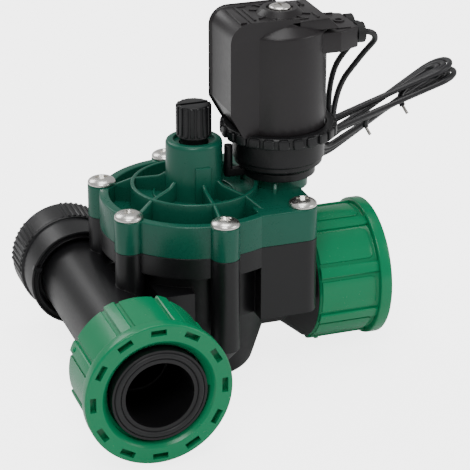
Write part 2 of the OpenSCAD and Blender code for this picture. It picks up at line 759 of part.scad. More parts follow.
// The folded steel strap that closes the magnetic circuit, grown by a clearance
module yoke_space(g) {
    leg_x = -14.8;
    translate([leg_x - g, -yoke_half_w - g, yoke_z + 1.3 - g])
        cube([yoke_t + 2 * g, 2 * (yoke_half_w + g), yoke_top_z - yoke_z - 1.3 + 2 * g]);
    translate([leg_x - g, -yoke_half_w - g, yoke_top_z - yoke_t - g])
        cube([27 + 2 * g, 2 * (yoke_half_w + g), yoke_t + 2 * g]);
    translate([leg_x + 0.8 - g, -yoke_half_w - g, yoke_z - g])
        cube([26.2 + 2 * g, 2 * (yoke_half_w + g), yoke_t + 2 * g]);
}

module yoke_frame() color("#8f9092") at_solenoid(0) difference() {
    yoke_space(0);
    translate([0, 0, yoke_z - 1]) cylinder(r = armature_r + drop_gap, h = coil_h);
}

module coil_bobbin() color("#d9d6cc") at_solenoid(bobbin_z) difference() {
    union() {
        cylinder(r = bobbin_hub_r, h = bobbin_top_z - bobbin_z);
        cylinder(r = bobbin_flange_r, h = bobbin_flange_t);
        translate([0, 0, bobbin_top_z - bobbin_z - bobbin_flange_t])
            cylinder(r = bobbin_flange_r, h = bobbin_flange_t);
    }
    translate([0, 0, -eps]) cylinder(r = armature_r + drop_gap, h = coil_h);
}

module coil_winding() color("#8a4a22") at_solenoid(bobbin_z + bobbin_flange_t)
    pipe(winding_r, bobbin_hub_r, bobbin_top_z - bobbin_z - 2 * bobbin_flange_t);

module armature_tube() color("#bfc2c4") at_solenoid(nozzle_z + 0.2) difference() {
    union() {
        cylinder(r = armature_r, h = core_top_z - nozzle_z);
        translate([0, 0, flange_z - nozzle_z - 0.2]) cylinder(r = flange_r, h = flange_t);
    }
    translate([0, 0, -eps]) cylinder(r = tube_inner_r, h = coil_h + 20);
}

module fixed_core() color("#a9acae") at_solenoid(core_z) difference() {
    cylinder(r = tube_inner_r, h = core_top_z - core_z);
    translate([0, 0, core_top_z - core_z - 9]) cylinder(r = top_shank_r, h = 10);
}

module plunger() color("#b4b6b8") at_solenoid(plunger_z) difference() {
    cylinder(r = plunger_r, h = plunger_len);
    translate([0, 0, -eps]) cylinder(r = plunger_seal_r, h = seal_z + plunger_seal_t - plunger_z + eps);
    translate([0, 0, plunger_len - 6]) cylinder(r = 2.6, h = 7);
}

module plunger_seal() color("#232323") at_solenoid(seal_z)
    cylinder(r = plunger_seal_r, h = plunger_seal_t);

module plunger_spring() color("#c2c2be") at_solenoid(plunger_z + plunger_len - 6)
    coil_spring(2, 0.3, 6 + core_z - plunger_z - plunger_len, 6);

module top_screw() color("#d4d4d0") at_solenoid(top_screw_z) {
    pan_head(top_head_r, top_head_h);
    translate([0, 0, core_top_z - top_screw_z - 8])
        cylinder(r = top_shank_r, h = top_screw_z - core_top_z + 8 + eps);
}

module top_washer() color("#b5b5b0") at_solenoid(coil_top_z)
    pipe(top_washer_r, top_shank_r + drop_gap, top_washer_t);

module wire_grommets() color("#1a1a1a") for (s = [-1, 1])
    translate([solenoid_x + wire_box_reach, s * grommet_y, grommet_z]) rotate([0, 90, 0]) {
        cylinder(r = grommet_r, h = grommet_out);
        translate([0, 0, -grommet_in + 0.1])
            cylinder(r = grommet_neck_r - running_gap, h = grommet_in);
    }

// ---- leads ----

// Shifts a route so that it starts at its grommet's face
function from_grommet(route) =
    let (shift = [grommet_face_x, route[0][1], grommet_z] - route[0])
    [for (p = route) p + shift];

module lead_front() color("#161616") sweep(from_grommet(front_route), lead_d / 2, lead_sides);

module lead_rear() color("#161616") sweep(from_grommet(rear_route), lead_d / 2, lead_sides);

module at_hank()
    translate(hank_center) rotate([0, -hank_pitch, 0]) rotate([-hank_roll, 0, 0]) children();

module lead_hank() color("#1c1c1c") at_hank() translate([0, 0, -hank_t / 2]) {
    end_r = hank_width / 2;
    run = hank_len - hank_width;
    translate([-run / 2, -end_r, 0]) cube([run, hank_width, hank_t]);
    for (s = [-1, 1]) translate([s * run / 2, 0, 0]) cylinder(r = end_r, h = hank_t);
}

module lead_tips() color("#a7a39b") at_hank()
    for (p = tip_places) translate([p[0], p[1], -hank_t / 2 - tip_len])
        cylinder(r = tip_r, h = tip_len);

// ---- union nuts ----

// A nut's section: chamfered mouth, thread, ring space and shoulder, from z = 0 inwards
module union_nut() {
    ring_space_r = nut_barrel_r - 3.4;
    chamfer = 1.9;
    difference() {
        union() {
            rotate_extrude() polygon([
                [thread_minor_r - 2, nut_len], [nut_barrel_r - 1.2, nut_len],
                [nut_barrel_r, nut_len - 1.2], [nut_barrel_r, nut_flange_t],
                [nut_flange_r, nut_flange_t], [nut_flange_r, 0.4], [nut_flange_r - 0.4, 0],
                [thread_minor_r - 2, 0]]);
            for (i = [0 : nut_ribs - 1]) rotate((i + 0.5) * 360 / nut_ribs)
                translate([nut_barrel_r - 2, -1.4, nut_flange_t - 1])
                    cube([2.7, 2.8, nut_len - nut_flange_t]);
        }
        translate([0, 0, -eps]) cylinder(r1 = thread_minor_r + chamfer, r2 = thread_minor_r, h = chamfer);
        translate([0, 0, -eps]) cylinder(r = thread_minor_r, h = thread_len + 2 * eps);
        translate([0, 0, thread_len])
            cylinder(r = ring_space_r, h = nut_len - thread_len - nut_shoulder_t);
        cylinder(r = collar_r + pass_gap, h = nut_len + 1);
        for (i = [0 : nut_pockets - 1]) rotate(i * 360 / nut_pockets)
            translate([nut_flange_r - 3.3, -2.35, -eps]) cube([1.6, 4.7, 2.6]);
    }
}

// The split ring sits between the nut's shoulder and the back of the tube's collar
module split_ring() {
    translate([0, 0, nut_back - nut_shoulder_t - split_ring_t]) difference() {
        pipe(nut_barrel_r - 3.4 - 0.4, tube_r + drop_gap, split_ring_t);
        translate([0, -split_gap / 2, -1]) cube([30, split_gap, split_ring_t + 2]);
    }
}

module seal_ring() translate([0, 0, seal_section_r * 0.5]) torus(seal_mean_r, seal_section_r);

module inlet_nut() color("#0e8f5c") at_inlet() translate([0, 0, nut_setback]) union_nut();

module outlet_nut() color("#0e8f5c") at_outlet() translate([0, 0, nut_setback]) union_nut();

module inlet_split_ring() color("#c8c8c2") at_inlet() split_ring();

module outlet_split_ring() color("#c8c8c2") at_outlet() split_ring();

module inlet_seal_ring() color("#121212") at_inlet() seal_ring();

module outlet_seal_ring() color("#121212") at_outlet() seal_ring();

// ---- end cap ----

module end_cap() color("#1c1c1e") at_cap(cap_reach - cap_len) difference() {
    union() {
        cylinder(r = cap_skirt_r, h = cap_len - cap_rim_len + eps);
        translate([0, 0, cap_len - cap_rim_len]) cylinder(r = cap_rim_r - 0.45, h = cap_rim_len);
        for (band = [0 : cap_bands - 1]) for (i = [0 : cap_band_ridges - 1])
            rotate(band * 360 / cap_bands + i * cap_ridge_pitch)
                translate([cap_rim_r - 1.2, -cap_ridge_w / 2, cap_len - cap_rim_len + cap_ridge_inset])
                    cube([1.2, cap_ridge_w, cap_rim_len - 2 * cap_ridge_inset]);
    }
    translate([0, 0, -eps])
        cylinder(r = stub_r + running_gap, h = cap_len - cap_end_t + eps);
}

module end_cap_gasket() color("#141414") at_cap(stub_end) pipe(stub_r - 0.2, waterway_r + 0.4, gasket_t);

// ---- assembly ----

module place() translate([-outlet_reach, 0, 0]) children();

place() valve_body();
place() bonnet();
place() bonnet_screws();
place() diaphragm();
place() diaphragm_support();
place() seat_seal();
place() diaphragm_bolt();
place() diaphragm_spring();
place() flow_stem();
place() stem_o_ring();
place() flow_knob();
place() knob_circlip();
place() solenoid_base();
place() base_o_ring();
place() bleed_lever();
place() solenoid_ring_nut();
place() coil_housing();
place() coil_winding();
place() coil_bobbin();
place() yoke_frame();
place() armature_tube();
place() fixed_core();
place() plunger();
place() plunger_seal();
place() plunger_spring();
place() top_screw();
place() top_washer();
place() wire_grommets();
place() lead_front();
place() lead_rear();
place() lead_hank();
place() lead_tips();
place() inlet_nut();
place() inlet_split_ring();
place() inlet_seal_ring();
place() outlet_nut();
place() outlet_split_ring();
place() outlet_seal_ring();
place() end_cap();
place() end_cap_gasket();
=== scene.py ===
# A diaphragm solenoid valve: green bonnet and union nuts on a black body, with a wired coil.
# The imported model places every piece. Lengths are in millimetres, and in metres in the studio.
import json
import math

import bmesh
import bpy
import numpy as np
from mathutils import Matrix, Vector


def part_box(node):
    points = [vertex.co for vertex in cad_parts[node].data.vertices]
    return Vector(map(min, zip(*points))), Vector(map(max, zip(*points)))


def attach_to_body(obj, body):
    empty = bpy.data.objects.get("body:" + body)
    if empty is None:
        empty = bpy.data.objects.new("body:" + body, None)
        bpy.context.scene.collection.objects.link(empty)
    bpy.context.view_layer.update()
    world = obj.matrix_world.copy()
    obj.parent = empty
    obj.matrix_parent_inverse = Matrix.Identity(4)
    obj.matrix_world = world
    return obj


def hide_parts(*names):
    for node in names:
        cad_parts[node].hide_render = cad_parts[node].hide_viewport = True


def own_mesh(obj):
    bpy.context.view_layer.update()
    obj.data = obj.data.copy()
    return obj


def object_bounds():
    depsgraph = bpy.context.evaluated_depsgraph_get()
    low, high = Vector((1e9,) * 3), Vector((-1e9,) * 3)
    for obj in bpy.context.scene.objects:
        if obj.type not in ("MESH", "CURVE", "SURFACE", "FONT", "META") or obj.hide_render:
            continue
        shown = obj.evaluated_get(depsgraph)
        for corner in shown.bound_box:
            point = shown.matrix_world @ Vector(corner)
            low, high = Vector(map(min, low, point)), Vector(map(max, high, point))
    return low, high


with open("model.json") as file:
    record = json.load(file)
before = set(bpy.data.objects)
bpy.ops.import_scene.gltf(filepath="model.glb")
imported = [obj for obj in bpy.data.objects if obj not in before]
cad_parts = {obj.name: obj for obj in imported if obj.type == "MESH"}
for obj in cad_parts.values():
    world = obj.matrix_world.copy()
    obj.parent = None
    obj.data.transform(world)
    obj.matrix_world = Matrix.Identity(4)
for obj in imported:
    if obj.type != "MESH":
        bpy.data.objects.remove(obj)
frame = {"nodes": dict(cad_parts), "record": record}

MM = 0.001
cad_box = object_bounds()


# ---- camera ----
# A long lens looks down on the valve from its left front, so the port ends stay nearly round.
def add_camera():
    lens, sensor = 159.6, 36
    back = Vector((-0.30123, -0.86454, 0.40227))
    target = Vector((-46.35, 2.9, 15.25)) * MM
    distance = 655.4 * MM
    data = bpy.data.cameras.new("camera")
    data.lens, data.sensor_width = lens, sensor
    data.shift_x, data.shift_y = 0.0149, 0.0007
    data.clip_start = 0.05
    camera = bpy.data.objects.new("camera", data)
    camera.location = target + back * distance
    camera.rotation_euler = back.to_track_quat("Z", "Y").to_euler()
    bpy.context.collection.objects.link(camera)
    bpy.context.scene.camera = camera


add_camera()


# ---- leads ----
# Two solid-core leads in black vinyl leave the grommets, run down behind the coil and are
# wound together into a flat hank. Their bare ends point down out of the hank's middle.
class Value:
    """A socket of a shader tree, on which arithmetic adds Math nodes."""

    def __init__(self, tree, socket):
        self.tree, self.socket = tree, socket

    def math(self, operation, *others):
        node = self.tree.nodes.new("ShaderNodeMath")
        node.operation = operation
        for port, value in zip(node.inputs, (self, *others)):
            attach(self.tree, port, value)
        return Value(self.tree, node.outputs[0])

    def __add__(self, other):
        return self.math("ADD", other)

    def __mul__(self, other):
        return self.math("MULTIPLY", other)

    __radd__, __rmul__ = __add__, __mul__


def attach(tree, port, value):
    if isinstance(value, Value):
        tree.links.new(value.socket, port)
    elif value is not None:
        port.default_value = value


class Finish:
    """A material under construction: its tree, its surface shader and the nodes asked for."""

    def __init__(self, name, **surface):
        self.material = bpy.data.materials.new(name)
        self.material.use_nodes = True
        self.tree = self.material.node_tree
        self.shader = self.tree.nodes["Principled BSDF"]
        self.place = self.node("ShaderNodeTexCoord", out="Object")
        for port, value in surface.items():
            self.shader.inputs[port.replace("_", " ")].default_value = value

    def node(self, kind, settings=None, out=0, **ports):
        node = self.tree.nodes.new(kind)
        for name, value in (settings or {}).items():
            setattr(node, name, value)
        for name, value in ports.items():
            key = int(name[1:]) if name[1:].isdigit() else name.replace("_", " ")
            attach(self.tree, node.inputs[key], value)
        return Value(self.tree, node.outputs[out])

    def noise(self, scale, detail=3.0, roughness=0.55):
        return self.node("ShaderNodeTexNoise", out="Fac", Vector=self.place,
                         Scale=scale, Detail=detail, Roughness=roughness)

    def ramp(self, value, low, high):
        """0 below low, 1 above high."""
        return self.node("ShaderNodeMapRange", Value=value, From_Min=low, From_Max=high)

    def blend(self, factor, one, other):
        return self.node("ShaderNodeMix", {"data_type": "RGBA"}, out=2,
                         i0=factor, i6=one, i7=other)

    def feed(self, port, value):
        attach(self.tree, self.shader.inputs[port], value)

    def relief(self, height, strength, distance, edge=0.0):
        """Bump from a height, over edges that are softened by a small radius."""
        ports = {"Height": height, "Strength": strength, "Distance": distance}
        if edge:
            ports["Normal"] = self.node("ShaderNodeBevel", {"samples": 4}, Radius=edge * MM)
        self.feed("Normal", self.node("ShaderNodeBump", **ports))


def rgba(red, green, blue):
    return (red, green, blue, 1)


def moulded(name, light, dark, rough=0.38, grain=0.03, edge=0.0, scuffs=0.3):
    """Injection moulded plastic: cloudy colour, a fine spark-eroded grain and faint scuffs."""
    finish = Finish(name, Specular_IOR_Level=0.38)
    cloud = finish.noise(55, detail=4)
    speck = finish.noise(900, detail=2)
    rubbed = finish.ramp(finish.noise(140, detail=5, roughness=0.7), 0.56, 0.72) * scuffs
    colour = finish.blend(cloud, rgba(*dark), rgba(*light))
    pale = rgba(*(min(1, c * 1.5 + 0.02) for c in light))
    finish.feed("Base Color", finish.blend(rubbed * 0.5, colour, pale))
    finish.feed("Roughness", cloud * 0.08 + speck * 0.1 + rubbed * 0.15 + (rough - 0.1))
    finish.relief(speck * 0.7 + cloud * 0.3, 0.35, grain * MM, edge)
    return finish.material


record = frame["record"]
body_of = {node: body for body, nodes in record["behaviour"]["bodies"].items() for node in nodes}
knob_low, knob_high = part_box("flow_knob")
axis_x = (knob_low[0] + knob_high[0]) / 2 / MM


def stands_for(piece, *nodes):
    """The piece rides with the body of its CAD nodes and hides them."""
    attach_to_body(piece, body_of[nodes[0]])
    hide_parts(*nodes)


def dress(material, *nodes):
    """Gives carried-over CAD nodes their finish."""
    for node in nodes:
        mesh = frame["nodes"][node].data
        mesh.materials.clear()
        mesh.materials.append(material)


lead_d = 1.9
hank_center, hank_pitch, hank_roll = Vector((69.2, 17, 47.2)), 24, 31
hank_len, hank_width = 57, 20
front_route = [
    (53, -4.4, 80.2), (53.9, -4.4, 80.2), (55.3, -4.4, 79.9), (56.9, -4, 78.9), (57.7, -3, 76.9),
    (57, -1.4, 74.6), (55.4, 0.6, 71.4), (53.4, 2.8, 67.2), (51.4, 5, 62.8),
    (50, 6.4, 58.2), (49.1, 7.2, 53.2), (48.85, 7.8, 49.2), (48.75, 8.2, 45.8),
]
rear_route = [
    (53, 4.4, 80.2), (53.9, 4.4, 80.2), (55.1, 4.5, 79.9), (56.4, 5.1, 78.4), (56.2, 6.2, 75.9),
    (54.6, 7.4, 72.8), (52.6, 9, 69.4), (50.6, 10.4, 65.2), (49.4, 11.2, 60.2),
    (48.8, 11.4, 55.2), (48.6, 11.2, 50.8), (48.45, 10.8, 47.4),
]


def through(points, steps=6):
    """A smooth run of points through all the given ones."""
    points = [Vector(p) for p in points]
    ends = [points[0] * 2 - points[1], *points, points[-1] * 2 - points[-2]]
    run = []
    for before, one, two, after in zip(ends, ends[1:], ends[2:], ends[3:]):
        for step in range(steps):
            t = step / steps
            run.append(0.5 * ((2 * one) + (two - before) * t
                              + (2 * before - 5 * one + 4 * two - after) * t * t
                              + (3 * one - before - 3 * two + after) * t ** 3))
    return run + [points[-1]]


def hank_turns(layer, first, last):
    """One lead's turns in the hank's own axes: a slow inward spiral, gently twisted."""
    outer_r, step_in, twist, per_turn = (hank_width - lead_d) / 2, 2.06, 24, 48
    half_run = (hank_len - hank_width) / 2
    turns = []
    for count in range(round(first * per_turn), round(last * per_turn) + 1):
        turn = count / per_turn
        r = outer_r - step_in * turn
        quarter, part = divmod(turn % 1 * 4, 1)
        if quarter % 2:
            side = 2 - quarter
            x, y = side * half_run * (2 * part - 1), side * r
        else:
            angle = math.radians((270 if quarter == 0 else 90) - 180 * part)
            x, y = half_run * (quarter - 1) + r * math.cos(angle), r * math.sin(angle)
        roll = Matrix.Rotation(math.radians(twist * x / (hank_len / 2)), 3, "X")
        turns.append(roll @ Vector((x, y, layer)))
    return turns


def add_leads():
    vinyl = Finish("vinyl_jacket", Specular_IOR_Level=0.5)
    drawn = vinyl.noise(260, detail=3)
    vinyl.feed("Base Color", vinyl.blend(drawn, rgba(0.006, 0.006, 0.007), rgba(0.02, 0.02, 0.023)))
    vinyl.feed("Roughness", drawn * 0.16 + 0.26)
    vinyl.relief(drawn, 0.25, 0.04 * MM)
    turned = Matrix.Rotation(math.radians(-hank_pitch), 3, "Y") @ Matrix.Rotation(
        math.radians(-hank_roll), 3, "X")
    wound = {
        "lead_front": (front_route, -1.75, 2.9,
                       [(-5.6, -2.3, -1.3), (-7.3, -0.8, -2.2), (-8, 0, -3.8)]),
        "lead_rear": (rear_route, 1.75, 2.8,
                      [(9.3, -2.6, 0.8), (7.5, -1.1, 0), (6.3, -0.2, -1.6), (6, 0, -3.8)]),
    }
    for name, (route, layer, last, tail) in wound.items():
        coil = hank_turns(layer, 0.06, last) + [Vector(p) for p in tail]
        line = through(route + [hank_center + turned @ p for p in coil], steps=3)
        curve = bpy.data.curves.new(name + "_wire", "CURVE")
        curve.dimensions = "3D"
        curve.bevel_depth, curve.bevel_resolution, curve.use_fill_caps = lead_d / 2 * MM, 4, True
        spline = curve.splines.new("POLY")
        spline.points.add(len(line) - 1)
        for point, place in zip(spline.points, line):
            point.co = (*((place + Vector((axis_x, 0, 0))) * MM), 1)
        spline.use_smooth = True
        curve.materials.append(vinyl.material)
        wire = bpy.data.objects.new(name + "_wire", curve)
        bpy.context.collection.objects.link(wire)
        stands_for(wire, name, *(["lead_hank"] if name == "lead_front" else []))


add_leads()


# ---- studio ----
# A flat white table under four soft lights in a bright room. It glows a little of its own, but
# only as seen directly, so it lights nothing.
def add_studio():
    paper = Finish("studio_paper", Roughness=0.8)
    paper.shader.inputs["Base Color"].default_value = rgba(0.95, 0.95, 0.95)
    seen = paper.node("ShaderNodeLightPath")
    paper.feed("Emission Color", paper.blend(seen, rgba(0, 0, 0), rgba(3.6, 3.6, 3.6)))
    paper.shader.inputs["Emission Strength"].default_value = 1.0
    floor_z = cad_box[0][2]
    half = 3.0
    mesh = bpy.data.meshes.new("studio_floor")
    mesh.from_pydata([(-half, -half, floor_z), (half, -half, floor_z), (half, half, floor_z),
                      (-half, half, floor_z)], [], [(0, 1, 2, 3)])
    mesh.materials.append(paper.material)
    floor = bpy.data.objects.new("studio_floor", mesh)
    bpy.context.collection.objects.link(floor)
    middle = Vector((-0.05, 0, 0.03))
    for name, place, size, power in (
            ("key", (-0.35, -0.75, 1.0), 0.5, 6), ("fill", (0.95, -0.6, 0.55), 0.6, 3),
            ("rim", (-0.5, 0.9, 0.8), 0.6, 4), ("top", (0.05, 0.1, 1.3), 0.6, 5)):
        data = bpy.data.lights.new(name, "AREA")
        data.size, data.energy = size, power
        lamp = bpy.data.objects.new(name, data)
        lamp.location = middle + Vector(place)
        lamp.rotation_euler = Vector(place).to_track_quat("Z", "Y").to_euler()
        bpy.context.collection.objects.link(lamp)
    world = bpy.data.worlds.new("room")
    world.use_nodes = True
    world.node_tree.nodes["Background"].inputs["Color"].default_value = (1, 1, 1, 1)
    world.node_tree.nodes["Background"].inputs["Strength"].default_value = 0.45
    bpy.context.scene.world = world


add_studio()


# ---- bonnet ----
# The green cover is moulded with a deep rim, a dished floor under a ring rib and six webs, a
# lobe for the solenoid and a tower for the flow control. It is screwed down on the body.
def rounded(corners, steps=5):
    """Points of an outline whose corners (x, y, radius) are rounded."""
    points, count = [], len(corners)
    for i, corner in enumerate(corners):
        here = Vector(corner[:2])
        radius = corner[2] if len(corner) > 2 else 0
        if not radius:
            points.append(tuple(here))
            continue
        before = (Vector(corners[i - 1][:2]) - here).normalized()
        after = (Vector(corners[(i + 1) % count][:2]) - here).normalized()
        half = before.angle(after) / 2
        centre = here + (before + after).normalized() * radius / math.sin(half)
        one = here + before * radius / math.tan(half) - centre
        two = here + after * radius / math.tan(half) - centre
        turn = one.angle_signed(two)
        points += [tuple(centre + Matrix.Rotation(-turn * k / steps, 2) @ one) for k in range(steps + 1)]
    return points


def spin(profile, columns=96, closed=False):
    """The shell that a profile of (radius, height) sweeps round Z."""
    points, rows, faces = [], [], []
    for r, z in profile:
        if r < 1e-6:
            rows.append([len(points)] * columns)
            points.append((0, 0, z))
        else:
            rows.append(list(range(len(points), len(points) + columns)))
            points += [(r * math.cos(math.tau * k / columns), r * math.sin(math.tau * k / columns), z)
                       for k in range(columns)]
    for one, two in zip(rows, rows[1:] + rows[:1] if closed else rows[1:]):
        for k in range(columns):
            quad = (one[k], one[(k + 1) % columns], two[(k + 1) % columns], two[k])
            faces.append(tuple(dict.fromkeys(quad)))
    return np.array(points), faces


def prism(outline, low, high, edge=0.4, low_edge=0.0, steps=3):
    """A plate from low to high with rounded edges; its outline runs anticlockwise."""
    flat = np.array(outline, float)
    ahead, behind = np.roll(flat, -1, 0) - flat, flat - np.roll(flat, 1, 0)
    normals = sum(np.stack([d[:, 1], -d[:, 0]], 1) / np.linalg.norm(d, axis=1)[:, None]
                  for d in (ahead, behind))
    normals *= 2 / np.maximum((normals ** 2).sum(1), 1)[:, None]
    rings = []
    for height, size, sign in ((low, low_edge, -1), (high, edge, 1)):
        turns = [math.pi / 2 * k / steps for k in range(steps + 1)] if size else [0]
        ring = [(size * (1 - math.cos(t)), height - sign * size * (1 - math.sin(t))) for t in turns]
        rings += ring[::-1] if sign < 0 else ring
    count = len(flat)
    points = np.concatenate([np.column_stack([flat - normals * inset, np.full(count, z)])
                             for inset, z in rings])
    faces = [tuple(range(count))[::-1], tuple(range(len(points) - count, len(points)))]
    for row in range(len(rings) - 1):
        faces += [(row * count + k, row * count + (k + 1) % count,
                   (row + 1) * count + (k + 1) % count, (row + 1) * count + k) for k in range(count)]
    return points, faces


def moved(shell, x=0, y=0, z=0, tilt=0, turn=0, roll=0):
    """The shell tilted about X, then rolled about Y, then turned about Z, then shifted."""
    matrix = (Matrix.Translation((x, y, z)) @ Matrix.Rotation(math.radians(turn), 4, "Z")
              @ Matrix.Rotation(math.radians(roll), 4, "Y") @ Matrix.Rotation(math.radians(tilt), 4, "X"))
    points = np.column_stack([shell[0], np.ones(len(shell[0]))]) @ np.array(matrix).T
    return points[:, :3], shell[1]


def together(*shells):
    points, faces = [], []
    for shell_points, shell_faces in shells:
        shift = sum(map(len, points))
        points.append(shell_points)
        faces += [tuple(i + shift for i in face) for face in shell_faces]
    return np.concatenate(points), faces


def box(x, y, z, edge=0.3):
    """A block between three pairs of limits, with its upper edges rounded."""
    return prism([(x[0], y[0]), (x[1], y[0]), (x[1], y[1]), (x[0], y[1])], z[0], z[1], edge)


class Grower:
    """A Geometry Nodes tree with named inputs, run once on a piece to give it a plain mesh."""

    def __init__(self, name, **inputs):
        self.tree = bpy.data.node_groups.new(name, "GeometryNodeTree")
        self.given, self.names = {"Material": None, **inputs}, {}
        for socket, kind in (("Geometry", "NodeSocketGeometry"), ("Material", "NodeSocketMaterial")):
            self.names[socket] = self.tree.interface.new_socket(socket, in_out="INPUT", socket_type=kind)
        for socket, value in inputs.items():
            kind = "NodeSocketInt" if isinstance(value, int) else "NodeSocketFloat"
            self.names[socket] = self.tree.interface.new_socket(socket, in_out="INPUT", socket_type=kind)
        self.tree.interface.new_socket("Geometry", in_out="OUTPUT", socket_type="NodeSocketGeometry")
        self.inputs = self.tree.nodes.new("NodeGroupInput").outputs
        self.outputs = self.tree.nodes.new("NodeGroupOutput").inputs

    def node(self, kind, settings=None, out=0, **ports):
        node = self.tree.nodes.new(kind)
        for name, value in (settings or {}).items():
            setattr(node, name, value)
        for name, value in ports.items():
            port = node.inputs[int(name[1:]) if name[1:].isdigit() else name.replace("_", " ")]
            if isinstance(value, bpy.types.NodeSocket):
                self.tree.links.new(value, port)
            else:
                port.default_value = value
        return node.outputs[out]

    def end(self, geometry):
        real = self.node("GeometryNodeRealizeInstances", Geometry=geometry)
        joined = self.node("GeometryNodeMergeByDistance", Geometry=real, Distance=0.0005 * MM)
        skinned = self.node("GeometryNodeSetMaterial", Geometry=joined, Material=self.inputs["Material"])
        self.tree.links.new(skinned, self.outputs["Geometry"])

    def run(self, piece, **values):
        modifier = piece.modifiers.new(self.tree.name, "NODES")
        modifier.node_group = self.tree
        for socket, value in {**self.given, **values}.items():
            modifier[self.names[socket].identifier] = value
        settled = piece.evaluated_get(bpy.context.evaluated_depsgraph_get())
        plain = bpy.data.meshes.new_from_object(settled)
        piece.modifiers.remove(modifier)
        piece.data = plain


def ring_grower():
    """Copies a piece round Z: Count copies, Step degrees apart, the first at Start degrees."""
    grower = Grower("round_ring", Count=8, Start=0.0, Step=45.0)
    places = grower.node("GeometryNodeMeshLine", Count=grower.inputs["Count"], Offset=(0, 0, 0))
    index = grower.node("GeometryNodeInputIndex")
    turn = grower.node("ShaderNodeMath", {"operation": "MULTIPLY_ADD"}, i0=index,
                       i1=grower.inputs["Step"], i2=grower.inputs["Start"])
    radians = grower.node("ShaderNodeMath", {"operation": "RADIANS"}, i0=turn)
    around = grower.node("ShaderNodeCombineXYZ", Z=radians)
    grower.end(grower.node("GeometryNodeInstanceOnPoints", Points=places, Rotation=around,
                           Instance=grower.inputs["Geometry"]))
    return grower


ring = ring_grower()


def loose_piece(name, shell, material):
    """A piece in millimetres about its own axis, for set_down to put in place."""
    mesh = bpy.data.meshes.new(name)
    mesh.from_pydata((np.asarray(shell[0], float) * MM).tolist(), [], shell[1])
    mesh.materials.append(material)
    piece = bpy.data.objects.new(name, mesh)
    bpy.context.collection.objects.link(piece)
    return piece


def copied_round(name, shell, material, count, start=0.0, step=None):
    piece = loose_piece(name, shell, material)
    ring.run(piece, Material=material, Count=count, Start=float(start), Step=float(step or 360 / count))
    return piece


def set_down(name, parts, place, crease=32):
    """Joins the parts, turns their faces outwards and puts them where the matrix says."""
    joined = bmesh.new()
    for part in parts:
        joined.from_mesh(part.data)
    bmesh.ops.recalc_face_normals(joined, faces=joined.faces)
    mesh = bpy.data.meshes.new(name)
    joined.to_mesh(mesh)
    joined.free()
    mesh.transform(Matrix.Translation((axis_x * MM, 0, 0)) @ place)
    mesh.shade_smooth()
    mesh.set_sharp_from_angle(angle=math.radians(crease))
    mesh.materials.append(parts[0].data.materials[0])
    for part in parts:
        bpy.data.objects.remove(part)
    piece = bpy.data.objects.new(name, mesh)
    bpy.context.collection.objects.link(piece)
    return piece


AT_AXIS = Matrix.Identity(4)
bonnet_low, bonnet_high = (corner / MM for corner in map(Vector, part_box("bonnet")))
parting_z, tower_z = bonnet_low.z, bonnet_high.z
rim_z = parting_z + 10.3
rim_r, ring_r, tower_r, boss_r, rib_t = 29.3, 19.6, 8.75, 4.45, 1.2
screw_circle_r, lobe_screw = 29.3, (27.3, 22)
solenoid_x = 27.5


def lobe_outline(hollow_r):
    """The lobe's outline, cut back to a circle of hollow_r round the diaphragm's axis."""
    side, end, left = lobe_screw[1] + boss_r, lobe_screw[0] + boss_r, 12.4
    reach = math.degrees(math.acos(left / hollow_r))
    inner = [(hollow_r * math.cos(math.radians(a)), hollow_r * math.sin(math.radians(a)))
             for a in np.linspace(reach, -reach, 33)]
    corner_r = boss_r - 0.1
    return rounded([(left, -side), (end, -side, corner_r), (end, side, corner_r), (left, side)], 9) + inner


